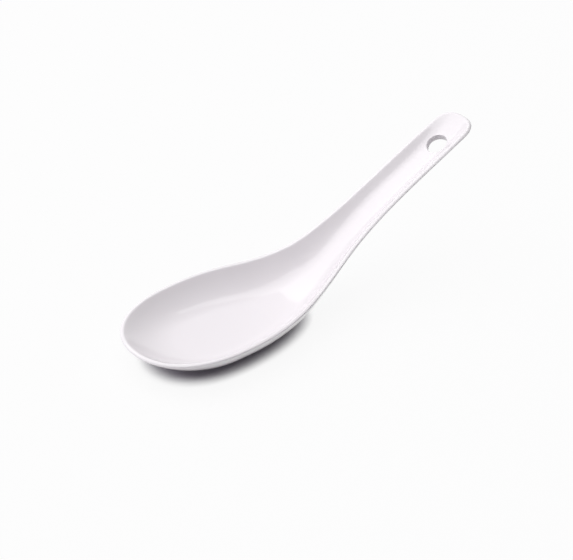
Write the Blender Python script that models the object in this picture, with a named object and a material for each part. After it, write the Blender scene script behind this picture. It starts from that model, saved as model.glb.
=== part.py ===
"""Porcelain amuse-bouche spoon: a bowl and a channelled handle under one coat of clear glaze.

Metres, +Z up. The origin is the middle of the bare foot, on the table. +X runs from the bowl to the
handle's end, and the spoon is the same on both sides of the XZ plane. A station is a distance from
the bowl's tip along X.
"""

import math

import bmesh
import bpy
from mathutils import Matrix, Vector

# Lip, the inner edge of the rim, seen from above
LIP_LENGTH = 0.1374
BOWL_LIP_WIDTH = 0.0444
BOWL_FRONT = 0.0290         # bowl tip to the widest place
SHOULDER_LENGTH = 0.0390    # how fast the bowl narrows behind the widest place
HANDLE_LIP_WIDTH = 0.0144
HANDLE_END_LENGTH = 0.0060  # rounded end of the handle

# Lip seen from the side
TIP_LIP_HEIGHT = 0.0112
BOWL_TILT = math.radians(2.7)
HANDLE_PITCH = math.radians(26.8)
BEND_STATION = 0.0665       # where the bowl's line and the handle's line would cross
BEND_REACH = 0.0130         # from there to either end of the bend
HANDLE_ARCH = 0.0011        # how far the handle bows up between the neck and its end
ARCH_START = 0.0720         # station where that bow starts

# Hollow
FLOOR_END = 0.0530          # station where the level floor starts to rise
CHANNEL_START = 0.1080      # station where the handle's channel has its own depth
CHANNEL_DEPTH = 0.0033
CHANNEL_FADE = 3.5          # how late the channel runs out towards the handle's end, 1 is evenly
TIP_RUN = 0.0180            # length of the slope inside the bowl's tip
BOWL_WALL_WIDTH = 0.0120    # the bowl's wall, seen from above
NECK_WALL_LAG = 0.4         # how far the wall narrows later than the bowl does, 0 is not at all
BOWL_FILLET = 0.52          # share of a wall's width that the fillet at the floor takes
BOWL_TIGHTNESS = 0.67       # how closely the wall's curve follows its corner, 1 is closest
CHANNEL_WALL_SHARE = 0.88   # share of the handle's half-width that each of its walls takes
CHANNEL_FILLET = 0.50
CHANNEL_TIGHTNESS = 1.0

# Thickness of the fired body and glaze together
FLOOR_THICKNESS = 0.0030
HANDLE_THICKNESS = 0.0025
RIM_THICKNESS = 0.0014
RIM_ROUNDING = 0.32         # share of the rim's thickness that each of its edges rounds off

# Bare foot
FOOT_FRONT = 0.0120         # bowl tip to the foot
FOOT_LENGTH = 0.0500
FOOT_WIDTH = 0.0190
FOOT_HEIGHT = 0.0017

# Hanging hole
HOLE_DIAMETER = 0.0073
HOLE_FROM_END = 0.0110

# Coat of glaze, the gap under it and the seam between bowl and handle
GLAZE_THICKNESS = 0.0003
GLAZE_GAP = 0.0001
SEAM_STATION = 0.0780
SEAM_GAP = 0.0003

# Fullness of the rounded outlines, where 2 is an ellipse and more is squarer
BOWL_FULLNESS = 2.2
SHOULDER_FULLNESS = 2.5
END_FULLNESS = 2.5
FOOT_FULLNESS = 2.3

# Fineness of the meshes
FRONT_STEPS = 8
SIDE_STEPS = 18
END_STEPS = 6
WALL_STEPS = 5
FOOT_STEPS = 12
RIM_SEGMENTS = 2
HOLE_SIDES = 32
SHARP_ANGLE = math.radians(50)
CUTTER_SPARE = 5            # cutters are this many times as long as what they cut

FOOT_MIDDLE = FOOT_FRONT + FOOT_LENGTH / 2
FLOOR_LEVEL = FOOT_HEIGHT + FLOOR_THICKNESS
END_STATION = LIP_LENGTH - HANDLE_END_LENGTH
BODY_INSET = GLAZE_THICKNESS + GLAZE_GAP
THICKEST = max(FLOOR_THICKNESS, HANDLE_THICKNESS, RIM_THICKNESS)

GLAZE_WHITE = (0.875, 0.845, 0.865, 1.0)
GLAZE_ROUGHNESS = 0.07
BISQUE_WHITE = (0.78, 0.76, 0.72, 1.0)
BISQUE_ROUGHNESS = 0.75


def superellipse(angle, fullness):
    """Point of a rounded outline with unit half-axes, a quarter turn from (1, 0) to (0, 1)."""
    power = 2 / fullness
    return math.cos(angle) ** power, math.sin(angle) ** power


def shoulder(station):
    """Falls along a bell curve from 1 at the bowl's widest place to 0 on the handle."""
    run = max(station - BOWL_FRONT, 0) / SHOULDER_LENGTH
    return math.exp(-run ** SHOULDER_FULLNESS)


def lip_half_width(station):
    return (HANDLE_LIP_WIDTH + (BOWL_LIP_WIDTH - HANDLE_LIP_WIDTH) * shoulder(station)) / 2


def lip_height(station):
    """Two runs joined by a parabola at the bend, the second one bowed up."""
    arch = max(station - ARCH_START, 0) / (LIP_LENGTH - ARCH_START)
    height = TIP_LIP_HEIGHT + station * math.tan(BOWL_TILT) + 4 * HANDLE_ARCH * arch * (1 - arch)
    steeper = math.tan(HANDLE_PITCH) - math.tan(BOWL_TILT)
    past = station - BEND_STATION
    if past >= BEND_REACH:
        return height + steeper * past
    if past <= -BEND_REACH:
        return height
    return height + steeper * (past + BEND_REACH) ** 2 / (4 * BEND_REACH)


def bowl_share(station):
    """Falls smoothly from 1 where the bowl's floor ends to 0 where the channel starts."""
    share = (station - FLOOR_END) / (CHANNEL_START - FLOOR_END)
    return (1 + math.cos(math.pi * min(max(share, 0), 1))) / 2


def floor_height(station):
    """Level in the bowl, then rising until only the channel's depth is left under the lip."""
    if station <= FLOOR_END:
        return FLOOR_LEVEL
    bowl_depth = lip_height(FLOOR_END) - FLOOR_LEVEL
    run_out = max(station - CHANNEL_START, 0) / (LIP_LENGTH - CHANNEL_START)
    channel = CHANNEL_DEPTH * (1 - run_out ** CHANNEL_FADE)
    return lip_height(station) - channel - (bowl_depth - channel) * bowl_share(station)


def floor_slope(station):
    """Rise of the floor per length, taken over a reach to either side."""
    reach = HANDLE_THICKNESS
    return (floor_height(station + reach) - floor_height(station - reach)) / (2 * reach)


def floor_half_width(station):
    channel_wall = CHANNEL_WALL_SHARE * HANDLE_LIP_WIDTH / 2
    bowl = shoulder(station) + NECK_WALL_LAG * (bowl_share(station) - shoulder(station))
    return lip_half_width(station) - channel_wall - (BOWL_WALL_WIDTH - channel_wall) * bowl


def bowl_or_channel(station, bowl_value, channel_value):
    """Value that changes from the bowl's to the channel's along the neck."""
    return channel_value + (bowl_value - channel_value) * bowl_share(station)


def half_outline(half_width, front_length, end_length):
    """Plan points of one side, from the bowl's tip to the handle's end, both on the axis."""
    points = []
    for step in range(FRONT_STEPS):
        back, out = superellipse(step / FRONT_STEPS * math.pi / 2, BOWL_FULLNESS)
        points.append((BOWL_FRONT - front_length * back, half_width(BOWL_FRONT) * out))
    for step in range(SIDE_STEPS):
        station = BOWL_FRONT + (END_STATION - BOWL_FRONT) * step / SIDE_STEPS
        points.append((station, half_width(station)))
    for step in range(END_STEPS + 1):
        out, ahead = superellipse(step / END_STEPS * math.pi / 2, END_FULLNESS)
        points.append((END_STATION + end_length * ahead, half_width(END_STATION) * out))
    return points


def wall_point(floor, lip, share):
    """Point of the curve that leaves the floor along its slope and turns up to the lip."""
    corner = floor.lerp(lip, bowl_or_channel(lip.x, BOWL_FILLET, CHANNEL_FILLET))
    corner.z = floor.z + floor_slope(floor.x) * (corner.x - floor.x)
    tightness = bowl_or_channel(lip.x, BOWL_TIGHTNESS, CHANNEL_TIGHTNESS)
    low = floor.lerp(corner, tightness)
    high = lip.lerp(corner, tightness)
    middle = low.lerp(high, share)
    before = floor.lerp(low, share).lerp(middle, share)
    after = middle.lerp(high.lerp(lip, share), share)
    return before.lerp(after, share)


def wall_thickness(station, share):
    """Thickness at a share of the way from the floor to the lip."""
    floor = HANDLE_THICKNESS + (FLOOR_THICKNESS - HANDLE_THICKNESS) * shoulder(station)
    return floor + (RIM_THICKNESS - floor) * share


def add_ring(mesh, layer, side):
    """Closed loop from one side's points and thicknesses, mirrored to the other side."""
    other_side = [(Vector((p.x, -p.y, p.z)), thickness) for p, thickness in side[-2:0:-1]]
    ring = []
    for point, thickness in side + other_side:
        vertex = mesh.verts.new(point)
        vertex[layer][0] = thickness / THICKEST
        ring.append(vertex)
    edges = [mesh.edges.new((ring[i - 1], ring[i])) for i in range(len(ring))]
    return ring, edges


def upper_sheet():
    """Upper face of the spoon as an open sheet, from the floor's middle out to the lip.

    Its vertex group holds the thickness of each place as a share of the thickest.
    """
    floor_end_length = HANDLE_END_LENGTH * (1 - CHANNEL_WALL_SHARE)
    floor_outline = half_outline(floor_half_width, BOWL_FRONT - TIP_RUN, floor_end_length)
    lip_outline = half_outline(lip_half_width, BOWL_FRONT, HANDLE_END_LENGTH)
    floor = [Vector((s, y, floor_height(s))) for s, y in floor_outline]
    lip = [Vector((s, y, lip_height(s))) for s, y in lip_outline]

    mesh = bmesh.new()
    layer = mesh.verts.layers.deform.new()
    loops = []
    for step in range(WALL_STEPS + 1):
        share = step / WALL_STEPS
        side = []
        for low, high in zip(floor, lip):
            point = wall_point(low, high, share)
            side.append((point, wall_thickness(point.x, share)))
        loops.append(add_ring(mesh, layer, side))
    for (_, inner), (_, outer) in zip(loops, loops[1:]):
        bmesh.ops.bridge_loops(mesh, edges=inner + outer)

    ring = loops[0][0]
    count = len(ring)
    for i in range(count // 2):
        across = [ring[i], ring[i + 1], ring[count - i - 1], ring[-i]]
        mesh.faces.new(list(dict.fromkeys(across)))
    bmesh.ops.recalc_face_normals(mesh, faces=mesh.faces)
    if sum(face.normal.z * face.calc_area() for face in mesh.faces) < 0:
        bmesh.ops.reverse_faces(mesh, faces=mesh.faces)
    bmesh.ops.translate(mesh, verts=mesh.verts, vec=(-FOOT_MIDDLE, 0, 0))
    return mesh


def new_object(name, mesh, material=None):
    data = bpy.data.meshes.new(name)
    mesh.to_mesh(data)
    mesh.free()
    data.shade_smooth()
    data.set_sharp_from_angle(angle=SHARP_ANGLE)
    obj = bpy.data.objects.new(name, data)
    bpy.context.scene.collection.objects.link(obj)
    if material:
        data.materials.append(material)
    else:
        obj.hide_render = True
        obj.display_type = 'WIRE'
    return obj


def spoon_solid(name, inset, material=None):
    """Whole spoon without foot or hole, drawn in by an inset from its glazed surface."""
    obj = new_object(name, upper_sheet(), material)
    obj.vertex_groups.new(name="thickness")
    shell = obj.modifiers.new("shell", 'SOLIDIFY')
    shell.thickness = THICKEST
    shell.offset = -1
    shell.use_even_offset = True
    shell.vertex_group = "thickness"
    rim = obj.modifiers.new("rim", 'BEVEL')
    rim.width = RIM_THICKNESS * RIM_ROUNDING
    rim.segments = RIM_SEGMENTS
    rim.limit_method = 'ANGLE'
    rim.angle_limit = SHARP_ANGLE
    if inset:
        drawn_in = obj.modifiers.new("inset", 'DISPLACE')
        drawn_in.strength = -inset
        drawn_in.mid_level = 0
    return obj


def cut(obj, cutter, operation):
    step = obj.modifiers.new(cutter.name, 'BOOLEAN')
    step.object = cutter
    step.operation = operation
    step.solver = 'EXACT'


def hole_cutter(name, diameter):
    """Cylinder through the handle, square to its pitch."""
    station = LIP_LENGTH - HOLE_FROM_END
    radius = diameter / 2
    length = CUTTER_SPARE * HANDLE_THICKNESS
    mesh = bmesh.new()
    bmesh.ops.create_cone(
        mesh, cap_ends=True, segments=HOLE_SIDES, radius1=radius, radius2=radius, depth=length
    )
    obj = new_object(name, mesh)
    obj.location = (station - FOOT_MIDDLE, 0, floor_height(station))
    obj.rotation_euler = (0, -HANDLE_PITCH, 0)
    return obj


def foot_oval(name, margin, bottom, top):
    """Oval prism under the bowl."""
    half_length = FOOT_LENGTH / 2 + margin
    half_width = FOOT_WIDTH / 2 + margin
    mesh = bmesh.new()
    outline = []
    for step in range(4 * FOOT_STEPS):
        angle = step / FOOT_STEPS * math.pi / 2
        along, across = superellipse(angle % (math.pi / 2), FOOT_FULLNESS)
        turned = Matrix.Rotation(angle // (math.pi / 2) * math.pi / 2, 2)
        x, y = turned @ Vector((along, across))
        outline.append(mesh.verts.new((x * half_length, y * half_width, bottom)))
    base = mesh.faces.new(outline)
    grown = bmesh.ops.extrude_face_region(mesh, geom=[base])["geom"]
    raised = [item for item in grown if isinstance(item, bmesh.types.BMVert)]
    bmesh.ops.translate(mesh, verts=raised, vec=(0, 0, top - bottom))
    bmesh.ops.recalc_face_normals(mesh, faces=mesh.faces)
    return new_object(name, mesh)


def front_block(name, reach):
    """Block that holds all of the spoon in front of the seam, grown past it by a reach."""
    size = CUTTER_SPARE * LIP_LENGTH
    mesh = bmesh.new()
    bmesh.ops.create_cube(mesh, size=size)
    bmesh.ops.translate(mesh, verts=mesh.verts, vec=(reach - size / 2, 0, 0))
    obj = new_object(name, mesh)
    obj.location = (SEAM_STATION - FOOT_MIDDLE, 0, lip_height(SEAM_STATION))
    obj.rotation_euler = (0, -HANDLE_PITCH, 0)
    return obj


def principled(name, colour, roughness):
    material = bpy.data.materials.new(name)
    material.use_nodes = True
    shader = material.node_tree.nodes["Principled BSDF"]
    shader.inputs["Base Color"].default_value = colour
    shader.inputs["Roughness"].default_value = roughness
    shader.inputs["Metallic"].default_value = 0.0
    return material


def make_bowl(material):
    bowl = spoon_solid("bowl", BODY_INSET, material)
    cut(bowl, front_block("bowl_side", -SEAM_GAP / 2), 'INTERSECT')
    cut(bowl, foot_oval("foot_pad", 0, 0, FOOT_HEIGHT + FLOOR_THICKNESS / 2), 'UNION')


def make_handle(material):
    handle = spoon_solid("handle", BODY_INSET, material)
    cut(handle, front_block("seam_side", SEAM_GAP / 2), 'DIFFERENCE')
    cut(handle, hole_cutter("body_hole", HOLE_DIAMETER + 2 * BODY_INSET), 'DIFFERENCE')


def make_glaze(material):
    """Coat over all but the foot, which also lines the hanging hole."""
    core = spoon_solid("glaze_core", GLAZE_THICKNESS)
    cut(core, hole_cutter("lining", HOLE_DIAMETER + 2 * GLAZE_THICKNESS), 'DIFFERENCE')
    glaze = spoon_solid("glaze_coat", 0, material)
    cut(glaze, core, 'DIFFERENCE')
    cut(glaze, hole_cutter("hanging_hole", HOLE_DIAMETER), 'DIFFERENCE')
    bare = foot_oval("bare_foot", GLAZE_GAP, -FOOT_HEIGHT, FOOT_HEIGHT + FLOOR_THICKNESS / 2)
    cut(glaze, bare, 'DIFFERENCE')


def main():
    for obj in list(bpy.data.objects):
        bpy.data.objects.remove(obj)
    bisque = principled("bisque", BISQUE_WHITE, BISQUE_ROUGHNESS)
    make_bowl(bisque)
    make_handle(bisque)
    make_glaze(principled("glaze", GLAZE_WHITE, GLAZE_ROUGHNESS))


main()
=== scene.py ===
"""Looks of the porcelain spoon: a smooth coat of glaze over the fired body, with a bare foot.

Metres, +Z up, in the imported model's frame. The shape is worked out along stations, which are
distances from the bowl's tip along X, and every finished mesh is then moved to the frame's origin.
"""

import math

import bmesh
import bpy
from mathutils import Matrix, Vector
from mathutils.bvhtree import BVHTree


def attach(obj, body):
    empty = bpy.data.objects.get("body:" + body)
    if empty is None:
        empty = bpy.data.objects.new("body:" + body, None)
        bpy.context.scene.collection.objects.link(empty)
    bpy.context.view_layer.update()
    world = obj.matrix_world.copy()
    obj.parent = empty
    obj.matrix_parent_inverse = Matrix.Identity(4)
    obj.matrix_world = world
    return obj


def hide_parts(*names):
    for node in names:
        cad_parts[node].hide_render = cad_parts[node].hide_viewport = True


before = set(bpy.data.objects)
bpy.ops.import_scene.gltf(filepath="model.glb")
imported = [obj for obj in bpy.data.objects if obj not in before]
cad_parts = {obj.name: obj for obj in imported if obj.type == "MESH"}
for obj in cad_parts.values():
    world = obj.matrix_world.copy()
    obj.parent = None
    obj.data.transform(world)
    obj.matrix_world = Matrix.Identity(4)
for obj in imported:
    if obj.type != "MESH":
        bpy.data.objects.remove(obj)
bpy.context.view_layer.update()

MM = 0.001

# Lip, the inner edge of the rim, seen from above
LIP_LENGTH = 137.4 * MM
BOWL_LIP_WIDTH = 44.4 * MM
BOWL_FRONT = 29.0 * MM
SHOULDER_LENGTH = 39.0 * MM
HANDLE_LIP_WIDTH = 14.4 * MM
HANDLE_END_LENGTH = 6.0 * MM

# Lip seen from the side
TIP_LIP_HEIGHT = 11.2 * MM
BOWL_TILT = math.radians(2.7)
HANDLE_PITCH = math.radians(26.8)
BEND_STATION = 66.5 * MM
BEND_REACH = 13.0 * MM
HANDLE_ARCH = 1.1 * MM
ARCH_START = 72.0 * MM

# Hollow
FLOOR_END = 53.0 * MM
CHANNEL_START = 108.0 * MM
CHANNEL_DEPTH = 3.3 * MM
CHANNEL_FADE = 3.5
TIP_RUN = 18.0 * MM
BOWL_WALL_WIDTH = 12.0 * MM
NECK_WALL_LAG = 0.4
BOWL_FILLET = 0.52
BOWL_TIGHTNESS = 0.67
CHANNEL_WALL_SHARE = 0.88
CHANNEL_FILLET = 0.50
CHANNEL_TIGHTNESS = 1.0

# Walls, rim, foot and hanging hole
FLOOR_THICKNESS = 3.0 * MM
HANDLE_THICKNESS = 2.5 * MM
RIM_THICKNESS = 1.4 * MM
RIM_REACH = 0.9 * MM
RIM_CREST = 0.75
FOOT_FRONT = 12.0 * MM
FOOT_LENGTH = 50.0 * MM
FOOT_WIDTH = 19.0 * MM
FOOT_HEIGHT = 1.7 * MM
FOOT_EDGE = 0.4 * MM
FOOT_SHARE = 0.30
FOOT_LIMIT = 29.0 * MM
HOLE_DIAMETER = 7.3 * MM
HOLE_FROM_END = 11.0 * MM
HOLE_EDGE = 0.25 * MM
HOLE_CREST = 0.50
HOLE_BLOCK = 5.0 * MM
GLAZE_THICKNESS = 0.3 * MM
GLAZE_GAP = 0.1 * MM
SEAM_STATION = 78.0 * MM
SEAM_GAP = 0.3 * MM

# Fullness of the rounded outlines, where 2 is an ellipse and more is squarer
BOWL_FULLNESS = 2.2
SHOULDER_FULLNESS = 2.5
END_FULLNESS = 2.5
FOOT_FULLNESS = 2.3
RIM_FULLNESS = 2.0
HOLE_FULLNESS = 5.0

# Fineness of the meshes
FRONT_STEPS = 36
SIDE_STEPS = 112
END_STEPS = 18
WALL_STEPS = 16
FLOOR_CUTS = 15
HOLE_RINGS = 3
RIM_CUTS = 11
HALVINGS = 20
HOLE_TRIES = 4
FOOT_EDGE_STEPS = 4
SHARP_EDGE = math.radians(60)

# Marks that a vertex carries while a mesh grows, and two that stay on it for the glaze: a painted
# highlight on the rim's rounded top and painted shade on the hole's rounded edge
PLACE = "place"
NUMBERS = ("share", "fullness", "crest", "bore", "depth")
MOVES = ("inward", "outward")
RIM_HIGHLIGHT_MARK = "painted_rim_highlight"
HOLE_SHADE_MARK = "painted_hole_shade"

FOOT_MIDDLE = FOOT_FRONT + FOOT_LENGTH / 2
FLOOR_LEVEL = FOOT_HEIGHT + FLOOR_THICKNESS
END_STATION = LIP_LENGTH - HANDLE_END_LENGTH
HOLE_STATION = LIP_LENGTH - HOLE_FROM_END
BODY_INSET = GLAZE_THICKNESS + GLAZE_GAP


# Form of the spoon

def superellipse(angle, fullness):
    power = 2 / fullness
    return math.cos(angle) ** power, math.sin(angle) ** power


def shoulder(station):
    run = max(station - BOWL_FRONT, 0) / SHOULDER_LENGTH
    return math.exp(-run ** SHOULDER_FULLNESS)


def lip_half_width(station):
    return (HANDLE_LIP_WIDTH + (BOWL_LIP_WIDTH - HANDLE_LIP_WIDTH) * shoulder(station)) / 2


def lip_height(station):
    arch = max(station - ARCH_START, 0) / (LIP_LENGTH - ARCH_START)
    height = TIP_LIP_HEIGHT + station * math.tan(BOWL_TILT) + 4 * HANDLE_ARCH * arch * (1 - arch)
    steeper = math.tan(HANDLE_PITCH) - math.tan(BOWL_TILT)
    past = station - BEND_STATION
    if past >= BEND_REACH:
        return height + steeper * past
    if past <= -BEND_REACH:
        return height
    return height + steeper * (past + BEND_REACH) ** 2 / (4 * BEND_REACH)


def bowl_share(station):
    share = (station - FLOOR_END) / (CHANNEL_START - FLOOR_END)
    return (1 + math.cos(math.pi * min(max(share, 0), 1))) / 2


def floor_height(station):
    if station <= FLOOR_END:
        return FLOOR_LEVEL
    bowl_depth = lip_height(FLOOR_END) - FLOOR_LEVEL
    run_out = max(station - CHANNEL_START, 0) / (LIP_LENGTH - CHANNEL_START)
    channel = CHANNEL_DEPTH * (1 - run_out ** CHANNEL_FADE)
    return lip_height(station) - channel - (bowl_depth - channel) * bowl_share(station)


def floor_slope(station):
    """Rise of the floor per length, taken over a reach to either side."""
    reach = HANDLE_THICKNESS
    return (floor_height(station + reach) - floor_height(station - reach)) / (2 * reach)


def floor_half_width(station):
    channel_wall = CHANNEL_WALL_SHARE * HANDLE_LIP_WIDTH / 2
    bowl = shoulder(station) + NECK_WALL_LAG * (bowl_share(station) - shoulder(station))
    return lip_half_width(station) - channel_wall - (BOWL_WALL_WIDTH - channel_wall) * bowl


def bowl_or_channel(station, bowl_value, channel_value):
    """Value that changes from the bowl's to the channel's along the neck."""
    return channel_value + (bowl_value - channel_value) * bowl_share(station)


def half_outline(half_width, front_length, end_length):
    """Plan points of one side, from the bowl's tip to the handle's end, both on the axis."""
    points = []
    for step in range(FRONT_STEPS):
        back, out = superellipse(step / FRONT_STEPS * math.pi / 2, BOWL_FULLNESS)
        points.append((BOWL_FRONT - front_length * back, half_width(BOWL_FRONT) * out))
    for step in range(SIDE_STEPS):
        station = BOWL_FRONT + (END_STATION - BOWL_FRONT) * step / SIDE_STEPS
        points.append((station, half_width(station)))
    for step in range(END_STEPS):
        out, ahead = superellipse(step / END_STEPS * math.pi / 2, END_FULLNESS)
        points.append((END_STATION + end_length * ahead, half_width(END_STATION) * out))
    points.append((END_STATION + end_length, 0))
    return points


def both_sides(half):
    """One side's points followed by their mirror images, as one closed loop."""
    return half + [Vector((p.x, -p.y, p.z)) for p in half[-2:0:-1]]


class Wall:
    """Curve that leaves the floor along its slope and turns up to the lip."""

    def __init__(self, floor, lip):
        corner = floor.lerp(lip, bowl_or_channel(lip.x, BOWL_FILLET, CHANNEL_FILLET))
        corner.z = floor.z + floor_slope(floor.x) * (corner.x - floor.x)
        tightness = bowl_or_channel(lip.x, BOWL_TIGHTNESS, CHANNEL_TIGHTNESS)
        self.floor = floor
        self.low = floor.lerp(corner, tightness)
        self.high = lip.lerp(corner, tightness)
        self.lip = lip
        self.top = 1 - RIM_REACH / (3 * (lip - self.high).length)

    def halves(self, share):
        middle = self.low.lerp(self.high, share)
        before = self.floor.lerp(self.low, share).lerp(middle, share)
        after = middle.lerp(self.high.lerp(self.lip, share), share)
        return before, after

    def point(self, share):
        before, after = self.halves(share)
        return before.lerp(after, share)

    def upward(self, share):
        before, after = self.halves(share)
        return (after - before).normalized()


def wall_thickness(station, share):
    floor = HANDLE_THICKNESS + (FLOOR_THICKNESS - HANDLE_THICKNESS) * shoulder(station)
    return floor + (RIM_THICKNESS - floor) * share


def wall_at(station):
    floor = Vector((station, floor_half_width(station), floor_height(station)))
    return Wall(floor, Vector((station, lip_half_width(station), lip_height(station))))


HANDLE_LINE = Vector((math.cos(HANDLE_PITCH), 0, math.sin(HANDLE_PITCH)))
HOLE_AXIS = Vector((-math.sin(HANDLE_PITCH), 0, math.cos(HANDLE_PITCH)))
HOLE_CENTRE = Vector((HOLE_STATION, 0, floor_height(HOLE_STATION)))


def channel_share(station, across):
    """Share of the way up the channel's wall at a distance from the axis, 0 on the floor."""
    wall = wall_at(station)
    low, high = 0, 1
    for _ in range(HALVINGS):
        middle = (low + high) / 2
        low, high = (middle, high) if wall.point(middle).y < abs(across) else (low, middle)
    return low


def channel_place(along, across):
    """Point of the channel at a distance along and across from the hole's axis, and its share."""
    station = HOLE_STATION
    for _ in range(HOLE_TRIES):
        share = channel_share(station, across)
        point = wall_at(station).point(share)
        point.y = across
        station += (along - (point - HOLE_CENTRE).dot(HANDLE_LINE)) * HANDLE_LINE.x
    return point, share


# Mesh of the spoon

def verts_of(geom):
    return [item for item in geom if isinstance(item, bmesh.types.BMVert)]


def face_outward(mesh):
    bmesh.ops.recalc_face_normals(mesh, faces=mesh.faces)
    if mesh.calc_volume(signed=True) < 0:
        bmesh.ops.reverse_faces(mesh, faces=mesh.faces)


def grown_loop(mesh, loop):
    """Extrudes a loop of edges in place and returns the new vertices and the new loop."""
    geom = bmesh.ops.extrude_edge_only(mesh, edges=loop)["geom"]
    fresh = set(verts_of(geom))
    edges = [e for e in geom if isinstance(e, bmesh.types.BMEdge)]
    return fresh, [e for e in edges if e.verts[0] in fresh and e.verts[1] in fresh]


def add_walls(mesh, layers):
    """Floor's outline as a loop, extruded ring by ring up the wall, then the floor inside it."""
    floor_end_length = HANDLE_END_LENGTH * (1 - CHANNEL_WALL_SHARE)
    low = half_outline(floor_half_width, BOWL_FRONT - TIP_RUN, floor_end_length)
    high = half_outline(lip_half_width, BOWL_FRONT, HANDLE_END_LENGTH)
    floor = both_sides([Vector((s, y, floor_height(s))) for s, y in low])
    lip = both_sides([Vector((s, y, lip_height(s))) for s, y in high])
    walls = [Wall(f, p) for f, p in zip(floor, lip)]

    ring = bmesh.ops.create_circle(mesh, segments=len(walls), radius=BOWL_FRONT)["verts"]
    for place, (vertex, wall) in enumerate(zip(ring, walls)):
        vertex[layers[PLACE]] = place
        vertex.co = wall.floor
    loop = list(mesh.edges)
    for step in range(1, WALL_STEPS + 1):
        fresh, loop = grown_loop(mesh, loop)
        for vertex in fresh:
            wall = walls[vertex[layers[PLACE]]]
            share = wall.top * step / WALL_STEPS
            vertex.co = wall.point(share)
            vertex[layers["share"]] = share
            vertex[layers["outward"]] = wall.upward(share) * RIM_REACH
            vertex[layers["fullness"]] = RIM_FULLNESS
            vertex[layers["crest"]] = RIM_CREST

    half = len(walls) // 2
    sides = [mesh.edges.get((ring[i], ring[i + 1])) for i in range(1, half - 1)]
    sides += [mesh.edges.get((ring[-i], ring[-i - 1])) for i in range(1, half - 1)]
    across = bmesh.ops.bridge_loops(mesh, edges=sides)["edges"]
    for tip, near in ((0, 1), (half, half - 1)):
        bmesh.ops.contextual_create(mesh, geom=[ring[tip], ring[near], ring[-near]])
    bmesh.ops.subdivide_edges(mesh, edges=across, cuts=FLOOR_CUTS, use_grid_fill=True)


def add_hole(mesh, layers):
    """Opens a square of the channel and draws its edge in, ring by ring, to the round hole."""
    block = []
    for face in mesh.faces:
        offset = face.calc_center_median() - HOLE_CENTRE
        if max(abs(offset.x / HANDLE_LINE.x), abs(offset.y)) < HOLE_BLOCK:
            block.append(face)
    lip_edges = {e for e in mesh.edges if e.is_boundary}
    bmesh.ops.delete(mesh, geom=block, context='FACES')
    loop = [e for e in mesh.edges if e.is_boundary and e not in lip_edges]
    edge_radius = HOLE_DIAMETER / 2 + HOLE_EDGE
    for left in range(HOLE_RINGS, 0, -1):
        fresh, loop = grown_loop(mesh, loop)
        for vertex in fresh:
            offset = vertex.co - HOLE_CENTRE
            plan = Vector((offset.dot(HANDLE_LINE), offset.y))
            plan = plan.lerp(plan.normalized() * edge_radius, 1 / left)
            vertex.co, vertex[layers["share"]] = channel_place(plan.x, plan.y)
            inwards = -(HANDLE_LINE * plan.x + Vector((0, plan.y, 0))).normalized()
            vertex[layers["outward"]] = inwards * HOLE_EDGE
            vertex[layers["fullness"]] = HOLE_FULLNESS
            vertex[layers["crest"]] = HOLE_CREST
            vertex[layers["bore"]] = 1 - (left - 1) / HOLE_RINGS


def add_underside(mesh, layers):
    """Gives the sheet its thickness and rounds the edges of the rim and the hole."""
    bmesh.ops.recalc_face_normals(mesh, faces=mesh.faces)
    mesh.normal_update()
    facing = sum(face.normal.z * face.calc_area() for face in mesh.faces)
    if facing < 0:
        bmesh.ops.reverse_faces(mesh, faces=mesh.faces)
        mesh.normal_update()
    for vertex in mesh.verts:
        thickness = wall_thickness(vertex.co.x, vertex[layers["share"]])
        way = vertex.normal.lerp(HOLE_AXIS, vertex[layers["bore"]]).normalized()
        vertex[layers["inward"]] = -way * thickness / way.dot(vertex.normal)
    below = set(verts_of(bmesh.ops.extrude_face_region(mesh, geom=mesh.faces[:])["geom"]))
    for vertex in below:
        vertex.co += vertex[layers["inward"]]
        vertex[layers["depth"]] = 1
    rims = [e for e in mesh.edges if (e.verts[0] in below) != (e.verts[1] in below)]
    cuts = bmesh.ops.subdivide_edges(mesh, edges=rims, cuts=RIM_CUTS, use_grid_fill=True)
    for vertex in verts_of(cuts["geom_inner"]):
        crest = vertex[layers["crest"]]
        depth = vertex[layers["depth"]]
        turn = math.pi * min(depth, 1 - depth)
        away, out = superellipse(turn, vertex[layers["fullness"]])
        below_top = crest * (1 - away) if depth < 0.5 else crest + (1 - crest) * away
        # Painted highlight on the rim's rounded top, and painted shade on the hole's rounded edge
        # and wall
        vertex[layers[RIM_HIGHLIGHT_MARK]] = out * (1 - depth) * (1 - vertex[layers["bore"]])
        vertex[layers[HOLE_SHADE_MARK]] = out * vertex[layers["bore"]]
        vertex.co += vertex[layers["inward"]] * (below_top - depth) + vertex[layers["outward"]] * out
    face_outward(mesh)


def spoon_skin(inset):
    """Closed skin of the whole spoon without its foot, drawn in by an inset."""
    mesh = bmesh.new()
    layers = {PLACE: mesh.verts.layers.int.new(PLACE)}
    for name in (*NUMBERS, RIM_HIGHLIGHT_MARK, HOLE_SHADE_MARK):
        layers[name] = mesh.verts.layers.float.new(name)
    for name in MOVES:
        layers[name] = mesh.verts.layers.float_vector.new(name)
    add_walls(mesh, layers)
    add_hole(mesh, layers)
    add_underside(mesh, layers)
    bmesh.ops.translate(mesh, verts=mesh.verts, vec=(-FOOT_MIDDLE, 0, 0))
    mesh.normal_update()
    moves = [vertex.normal * -inset for vertex in mesh.verts]
    for vertex, move in zip(mesh.verts, moves):
        vertex.co += move
    return mesh


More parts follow.
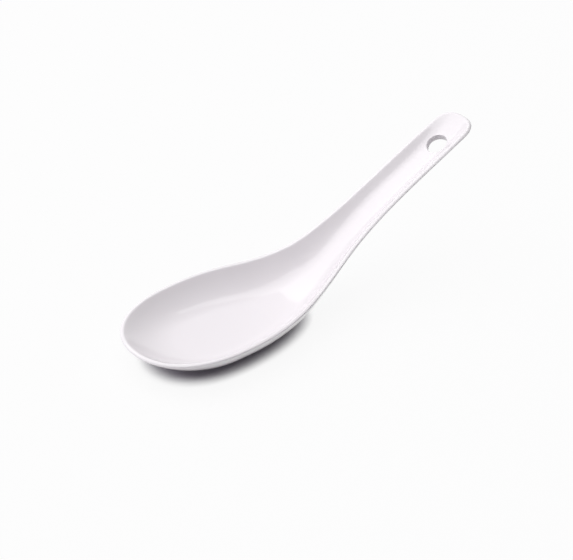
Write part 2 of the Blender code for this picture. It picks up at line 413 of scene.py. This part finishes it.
def foot_opening(mesh, margin):
    """Opens the underside of the bowl and draws the opening's edge in to the foot's oval."""
    half_length = FOOT_LENGTH / 2 + margin
    half_width = FOOT_WIDTH / 2 + margin
    underside = BVHTree.FromBMesh(mesh)
    share = mesh.verts.layers.float["share"]
    depth = mesh.verts.layers.float["depth"]

    def in_opening(vertex):
        return vertex[depth] == 1 and vertex[share] < FOOT_SHARE and vertex.co.x < FOOT_LIMIT

    under = [face for face in mesh.faces if all(in_opening(vertex) for vertex in face.verts)]
    bmesh.ops.delete(mesh, geom=under, context='FACES')
    fresh, loop = grown_loop(mesh, [e for e in mesh.edges if e.is_boundary])
    for vertex in fresh:
        along = abs(vertex.co.x / half_length) ** FOOT_FULLNESS
        across = abs(vertex.co.y / half_width) ** FOOT_FULLNESS
        x, y, _ = vertex.co / (along + across) ** (1 / FOOT_FULLNESS)
        vertex.co = underside.ray_cast(Vector((x, y, -FOOT_LENGTH)), Vector((0, 0, 1)))[0]
    return loop


def new_piece(name, mesh, material, slot, *nodes):
    """Finished object of a mesh, set in place of the frame's nodes."""
    data = bpy.data.meshes.new(name)
    face_outward(mesh)
    mesh.to_mesh(data)
    mesh.free()
    for mark in (PLACE, *NUMBERS, *MOVES):
        data.attributes.remove(data.attributes[mark])
    data.shade_smooth()
    data.set_sharp_from_angle(angle=SHARP_EDGE)
    data.materials.append(material)
    piece = bpy.data.objects.new(name, data)
    bpy.context.scene.collection.objects.link(piece)
    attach(piece, "root")
    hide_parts(*nodes)


def make_glaze(material):
    """Whole outer skin, with a pocket under the bowl that takes the foot."""
    mesh = spoon_skin(0)
    loop = foot_opening(mesh, GLAZE_GAP)
    fresh, loop = grown_loop(mesh, loop)
    bmesh.ops.translate(mesh, verts=list(fresh), vec=(0, 0, GLAZE_THICKNESS))
    bmesh.ops.triangle_fill(mesh, edges=loop, use_beauty=True)
    new_piece("glaze_coat_smooth", mesh, material, "glaze", "glaze_coat")


def part_at_seam(mesh, side):
    """Keeps the body on one side of the seam: -1 is the bowl's side and 1 is the handle's."""
    seam = Vector((SEAM_STATION - FOOT_MIDDLE, 0, lip_height(SEAM_STATION)))
    away = HANDLE_LINE * side
    bmesh.ops.bisect_plane(
        mesh, geom=mesh.verts[:] + mesh.edges[:] + mesh.faces[:],
        plane_co=seam + away * SEAM_GAP / 2, plane_no=-away, clear_outer=True,
    )
    bmesh.ops.triangle_fill(mesh, edges=[e for e in mesh.edges if e.is_boundary], use_beauty=True)


def make_handle(material):
    """Body of the handle, from the seam to its end."""
    mesh = spoon_skin(BODY_INSET)
    part_at_seam(mesh, 1)
    new_piece("handle_body", mesh, material, "bisque", "handle")


def make_bowl(material):
    """Body of the bowl, with its foot drawn down to the table."""
    mesh = spoon_skin(BODY_INSET)
    loop = foot_opening(mesh, 0)
    fresh, loop = grown_loop(mesh, loop)
    for vertex in fresh:
        vertex.co.z = 0
    bottom = bmesh.ops.edgeloop_fill(mesh, edges=loop)["faces"][0]
    bmesh.ops.bevel(
        mesh, geom=list(bottom.edges), offset=FOOT_EDGE, offset_type='OFFSET', affect='EDGES',
        segments=FOOT_EDGE_STEPS, profile=0.5, material=-1,
    )
    part_at_seam(mesh, -1)
    new_piece("bowl_body", mesh, material, "bisque", "bowl")


# Finishes

GLAZE_WHITES = ((0.880, 0.850, 0.869, 1), (0.870, 0.840, 0.861, 1))
GLAZE_MOTTLE = (0.875, 0.846, 0.866, 1)
# Painted highlight: paler colour on the rim's rounded top
GLAZE_PAINTED_HIGHLIGHT = (0.960, 0.940, 0.950, 1)
# Painted shade: greyer colour on the hole's rounded edge and wall
GLAZE_PAINTED_SHADE = (0.740, 0.710, 0.735, 1)
GLAZE_SPECK = (0.72, 0.68, 0.66, 1)
GLAZE_ROUGHNESS = (0.05, 0.09)
GLAZE_CLOUD = 18 * MM
MOTTLE_SIZE = 1.5 * MM
GLAZE_SPECK_SPACING = 14 * MM
GLAZE_SPECK_SIZE = 0.25 * MM
GLOSS_PATCH = 4 * MM
WAVE_LENGTH = 9 * MM
WAVE_DEPTH = 0.018 * MM
PEEL_LENGTH = 1.2 * MM
PEEL_DEPTH = 0.0012 * MM

BISQUE_WHITES = ((0.80, 0.78, 0.74, 1), (0.75, 0.73, 0.685, 1))
BISQUE_SPECK = (0.58, 0.54, 0.48, 1)
BISQUE_ROUGHNESS = (0.68, 0.86)
BISQUE_CLOUD = 6 * MM
BISQUE_SPECK_SPACING = 3 * MM
BISQUE_SPECK_SIZE = 0.2 * MM
DENT_SIZE = 2 * MM
GRAIN_SIZE = 0.25 * MM
GRAIN_DEPTH = 0.018 * MM

# Part of a random pattern's range that is in use
CLOUD_LOW = 0.2
CLOUD_HIGH = 0.8


class Finish:
    """Material whose colour, roughness and bump vary over the piece."""

    def __init__(self, name):
        self.material = bpy.data.materials.new(name)
        self.material.use_nodes = True
        self.nodes = self.material.node_tree.nodes
        self.links = self.material.node_tree.links
        self.shader = self.nodes["Principled BSDF"]

    @property
    def place(self):
        """The piece's own coordinates."""
        place = self.nodes.get("Texture Coordinate") or self.nodes.new("ShaderNodeTexCoord")
        return place.outputs["Object"]

    def spread(self, value, start, stop, low, high):
        """Value between start and stop brought to between low and high."""
        ranged = self.nodes.new("ShaderNodeMapRange")
        ranged.inputs["From Min"].default_value = start
        ranged.inputs["From Max"].default_value = stop
        ranged.inputs["To Min"].default_value = low
        ranged.inputs["To Max"].default_value = high
        self.links.new(value, ranged.inputs["Value"])
        return ranged.outputs["Result"]

    def cloud(self, size, detail, low=0, high=1):
        """Soft random pattern from low to high, with spots of about the given size."""
        noise = self.nodes.new("ShaderNodeTexNoise")
        noise.inputs["Scale"].default_value = 1 / size
        noise.inputs["Detail"].default_value = detail
        self.links.new(self.place, noise.inputs["Vector"])
        return self.spread(noise.outputs["Fac"], CLOUD_LOW, CLOUD_HIGH, low, high)

    def specks(self, spacing, size):
        """One where a speck lies and zero elsewhere, with soft edges."""
        cells = self.nodes.new("ShaderNodeTexVoronoi")
        cells.inputs["Scale"].default_value = 1 / spacing
        self.links.new(self.place, cells.inputs["Vector"])
        return self.spread(cells.outputs["Distance"], size / spacing, 0, 0, 1)

    def blend(self, share, first, second):
        """Colour between two, each of which is a colour or an output."""
        mix = self.nodes.new("ShaderNodeMix")
        mix.data_type = 'RGBA'
        sockets = [socket for socket in mix.inputs if socket.type == 'RGBA']
        self.links.new(share, mix.inputs["Factor"])
        for socket, colour in zip(sockets, (first, second)):
            if isinstance(colour, tuple):
                socket.default_value = colour
            else:
                self.links.new(colour, socket)
        return next(socket for socket in mix.outputs if socket.type == 'RGBA')

    def mark(self, name):
        """Value that the piece's vertices carry under a name."""
        attribute = self.nodes.new("ShaderNodeAttribute")
        attribute.attribute_name = name
        return attribute.outputs["Fac"]

    def bump(self, height, depth, under=None):
        bumps = self.nodes.new("ShaderNodeBump")
        bumps.inputs["Strength"].default_value = 1
        bumps.inputs["Distance"].default_value = depth
        self.links.new(height, bumps.inputs["Height"])
        if under:
            self.links.new(under, bumps.inputs["Normal"])
        return bumps.outputs["Normal"]

    def finish(self, colour, roughness, normal):
        self.links.new(colour, self.shader.inputs["Base Color"])
        self.links.new(roughness, self.shader.inputs["Roughness"])
        self.links.new(normal, self.shader.inputs["Normal"])
        return self.material


def glaze_material():
    """Clear glossy glaze on white porcelain: faintly lilac and rippled, with a painted highlight on
    the rim's top and painted shade in the hole.
    """
    glaze = Finish("glaze")
    white = glaze.blend(glaze.cloud(GLAZE_CLOUD, 2), *GLAZE_WHITES)
    mottled = glaze.blend(glaze.cloud(MOTTLE_SIZE, 3), white, GLAZE_MOTTLE)
    # Painted highlight: the rim's rounded top is made paler
    rim_highlighted = glaze.blend(glaze.mark(RIM_HIGHLIGHT_MARK), mottled, GLAZE_PAINTED_HIGHLIGHT)
    # Painted shade: the hole's rounded edge and wall are made greyer
    painted_hole_shade = glaze.blend(glaze.mark(HOLE_SHADE_MARK), rim_highlighted, GLAZE_PAINTED_SHADE)
    specks = glaze.specks(GLAZE_SPECK_SPACING, GLAZE_SPECK_SIZE)
    colour = glaze.blend(specks, painted_hole_shade, GLAZE_SPECK)
    roughness = glaze.cloud(GLOSS_PATCH, 3, *GLAZE_ROUGHNESS)
    waves = glaze.bump(glaze.cloud(WAVE_LENGTH, 1), WAVE_DEPTH)
    peel = glaze.bump(glaze.cloud(PEEL_LENGTH, 1), PEEL_DEPTH, waves)
    return glaze.finish(colour, roughness, peel)


def bisque_material():
    """Bare fired porcelain: warm white, dry and grainy."""
    bisque = Finish("bisque")
    white = bisque.blend(bisque.cloud(BISQUE_CLOUD, 4), *BISQUE_WHITES)
    specks = bisque.specks(BISQUE_SPECK_SPACING, BISQUE_SPECK_SIZE)
    colour = bisque.blend(specks, white, BISQUE_SPECK)
    roughness = bisque.cloud(GRAIN_SIZE, 4, *BISQUE_ROUGHNESS)
    dents = bisque.bump(bisque.cloud(DENT_SIZE, 2), GRAIN_DEPTH)
    grain = bisque.bump(bisque.cloud(GRAIN_SIZE, 4), GRAIN_DEPTH, dents)
    return bisque.finish(colour, roughness, grain)


glaze_finish = glaze_material()
bisque_finish = bisque_material()
make_glaze(glaze_finish)
make_bowl(bisque_finish)
make_handle(bisque_finish)


# Floor, light and camera

PAPER_HALF_SIZE = 6
PAPER_WHITE = (0.78, 0.78, 0.78, 1)
PAPER_GLOW = 0.92
PAPER_ROUGHNESS = 0.9
PAPER_GLOSS = 0.1
# Painted contact shadow on the paper: its grey, its reach from the spoon and the part of the
# occlusion's range it spans
PAINTED_SHADOW_GREY = (0.42, 0.40, 0.45, 1)
PAINTED_SHADOW_REACH = 7.5 * MM
PAINTED_SHADOW_RANGE = (0.28, 0.62)

# Glows of the dome: where to, how bright square to that and how bright straight in it
OVERHEAD_GLOW = ((-0.45, 0.42, 0.79), 0.02, 0.72)
LEFT_GLOW = ((-0.80, -0.50, 0.33), 0, 0.12)
BACK_GLOW = ((0.00, 0.95, 0.30), 0, 0.17)
DOME_LILAC = (1.012, 0.986, 1.040, 1)
DOME_WHITE = (1, 1, 1, 1)

SOFTBOX_PLACE = (-0.19, 0.575, 1.20)
SOFTBOX_TURN = math.radians(19)
SOFTBOX_WIDTH = 1.20
SOFTBOX_LENGTH = 1.90
SOFTBOX_RADIANCE = 1.71
SOFTBOX_CREAM = (1, 1, 0.985)

CAMERA_PLACE = (-0.3526, -0.4827, 0.4110)
CAMERA_LINE = (0.5164, 0.6609, -0.5446)
PICTURE_WIDTH = 573
FOCAL_PIXELS = 2199
SENSOR_WIDTH = 36


def seen_share(nodes, links):
    """One for rays that show the background, straight or mirrored, and zero for those that light."""
    path = nodes.new("ShaderNodeLightPath")
    shown = path.outputs["Is Camera Ray"]
    for kind in ("Is Glossy Ray", "Is Transmission Ray"):
        either = nodes.new("ShaderNodeMath")
        either.operation = 'MAXIMUM'
        links.new(shown, either.inputs[0])
        links.new(path.outputs[kind], either.inputs[1])
        shown = either.outputs["Value"]
    return shown


def floor_material():
    """White paper with a painted contact shadow: it darkens to violet grey where the spoon stands
    close over it.
    """
    floor = Finish("pale_floor")
    # Painted contact shadow: ambient occlusion darkens the paper's colour and weakens its white glow
    # near the spoon
    nearness = floor.nodes.new("ShaderNodeAmbientOcclusion")
    nearness.inputs["Distance"].default_value = PAINTED_SHADOW_REACH
    open_share = floor.spread(nearness.outputs["AO"], *PAINTED_SHADOW_RANGE, 0, 1)
    colour = floor.blend(open_share, PAINTED_SHADOW_GREY, PAPER_WHITE)
    floor.links.new(colour, floor.shader.inputs["Base Color"])
    floor.shader.inputs["Roughness"].default_value = PAPER_ROUGHNESS
    floor.shader.inputs["Specular IOR Level"].default_value = PAPER_GLOSS

    glow = floor.nodes.new("ShaderNodeEmission")
    share = floor.nodes.new("ShaderNodeMath")
    share.operation = 'MULTIPLY'
    floor.links.new(seen_share(floor.nodes, floor.links), share.inputs[0])
    floor.links.new(floor.spread(open_share, 0, 1, 0, PAPER_GLOW), share.inputs[1])
    paper = floor.nodes.new("ShaderNodeMixShader")
    floor.links.new(share.outputs["Value"], paper.inputs["Fac"])
    floor.links.new(floor.shader.outputs["BSDF"], paper.inputs[1])
    floor.links.new(glow.outputs["Emission"], paper.inputs[2])
    floor.links.new(paper.outputs["Shader"], floor.nodes["Material Output"].inputs["Surface"])
    return floor.material


def make_floor():
    mesh = bmesh.new()
    bmesh.ops.create_grid(mesh, x_segments=1, y_segments=1, size=PAPER_HALF_SIZE)
    data = bpy.data.meshes.new("floor")
    mesh.to_mesh(data)
    mesh.free()
    data.materials.append(floor_material())
    floor = bpy.data.objects.new("floor", data)
    bpy.context.scene.collection.objects.link(floor)


def add_softbox():
    """Softbox of even brightness that hangs level over the spoon, facing down."""
    data = bpy.data.lights.new("softbox", 'AREA')
    data.shape = 'RECTANGLE'
    data.size = SOFTBOX_WIDTH
    data.size_y = SOFTBOX_LENGTH
    data.energy = SOFTBOX_RADIANCE * math.pi * SOFTBOX_WIDTH * SOFTBOX_LENGTH
    data.color = SOFTBOX_CREAM
    lamp = bpy.data.objects.new("softbox", data)
    lamp.location = SOFTBOX_PLACE
    lamp.rotation_euler = (0, 0, SOFTBOX_TURN)
    bpy.context.scene.collection.objects.link(lamp)


def glow_towards(nodes, links, towards, low, high):
    """Brightness of the dome that rises from low, square to a direction, to high straight in it."""
    place = nodes.new("ShaderNodeTexCoord")
    facing = nodes.new("ShaderNodeVectorMath")
    facing.operation = 'DOT_PRODUCT'
    facing.inputs[1].default_value = Vector(towards).normalized()
    links.new(place.outputs["Generated"], facing.inputs[0])
    bright = nodes.new("ShaderNodeMapRange")
    bright.inputs["From Min"].default_value = 0
    bright.inputs["From Max"].default_value = 1
    bright.inputs["To Min"].default_value = low
    bright.inputs["To Max"].default_value = high
    links.new(facing.outputs["Value"], bright.inputs["Value"])
    return bright.outputs["Result"]


def make_dome():
    """Faintly lilac studio dome, brightest overhead, and white where it is seen."""
    world = bpy.data.worlds.new("studio")
    bpy.context.scene.world = world
    world.use_nodes = True
    nodes = world.node_tree.nodes
    links = world.node_tree.links
    light = glow_towards(nodes, links, *OVERHEAD_GLOW)
    for glow in (LEFT_GLOW, BACK_GLOW):
        both = nodes.new("ShaderNodeMath")
        both.operation = 'ADD'
        links.new(light, both.inputs[0])
        links.new(glow_towards(nodes, links, *glow), both.inputs[1])
        light = both.outputs["Value"]
    lit = nodes["Background"]
    lit.inputs["Color"].default_value = DOME_LILAC
    links.new(light, lit.inputs["Strength"])
    seen = nodes.new("ShaderNodeBackground")
    seen.inputs["Color"].default_value = DOME_WHITE
    dome = nodes.new("ShaderNodeMixShader")
    links.new(seen_share(nodes, links), dome.inputs["Fac"])
    links.new(lit.outputs["Background"], dome.inputs[1])
    links.new(seen.outputs["Background"], dome.inputs[2])
    links.new(dome.outputs["Shader"], nodes["World Output"].inputs["Surface"])


def add_camera():
    """Camera at the photograph's viewing angle."""
    data = bpy.data.cameras.new("photo_view")
    data.sensor_fit = 'HORIZONTAL'
    data.sensor_width = SENSOR_WIDTH
    data.lens = SENSOR_WIDTH * FOCAL_PIXELS / PICTURE_WIDTH
    camera = bpy.data.objects.new("photo_view", data)
    camera.location = CAMERA_PLACE
    camera.rotation_euler = Vector(CAMERA_LINE).to_track_quat('-Z', 'Y').to_euler()
    bpy.context.scene.collection.objects.link(camera)
    bpy.context.scene.camera = camera


make_floor()
make_dome()
add_softbox()
add_camera()
bpy.context.scene.view_settings.view_transform = 'Standard'
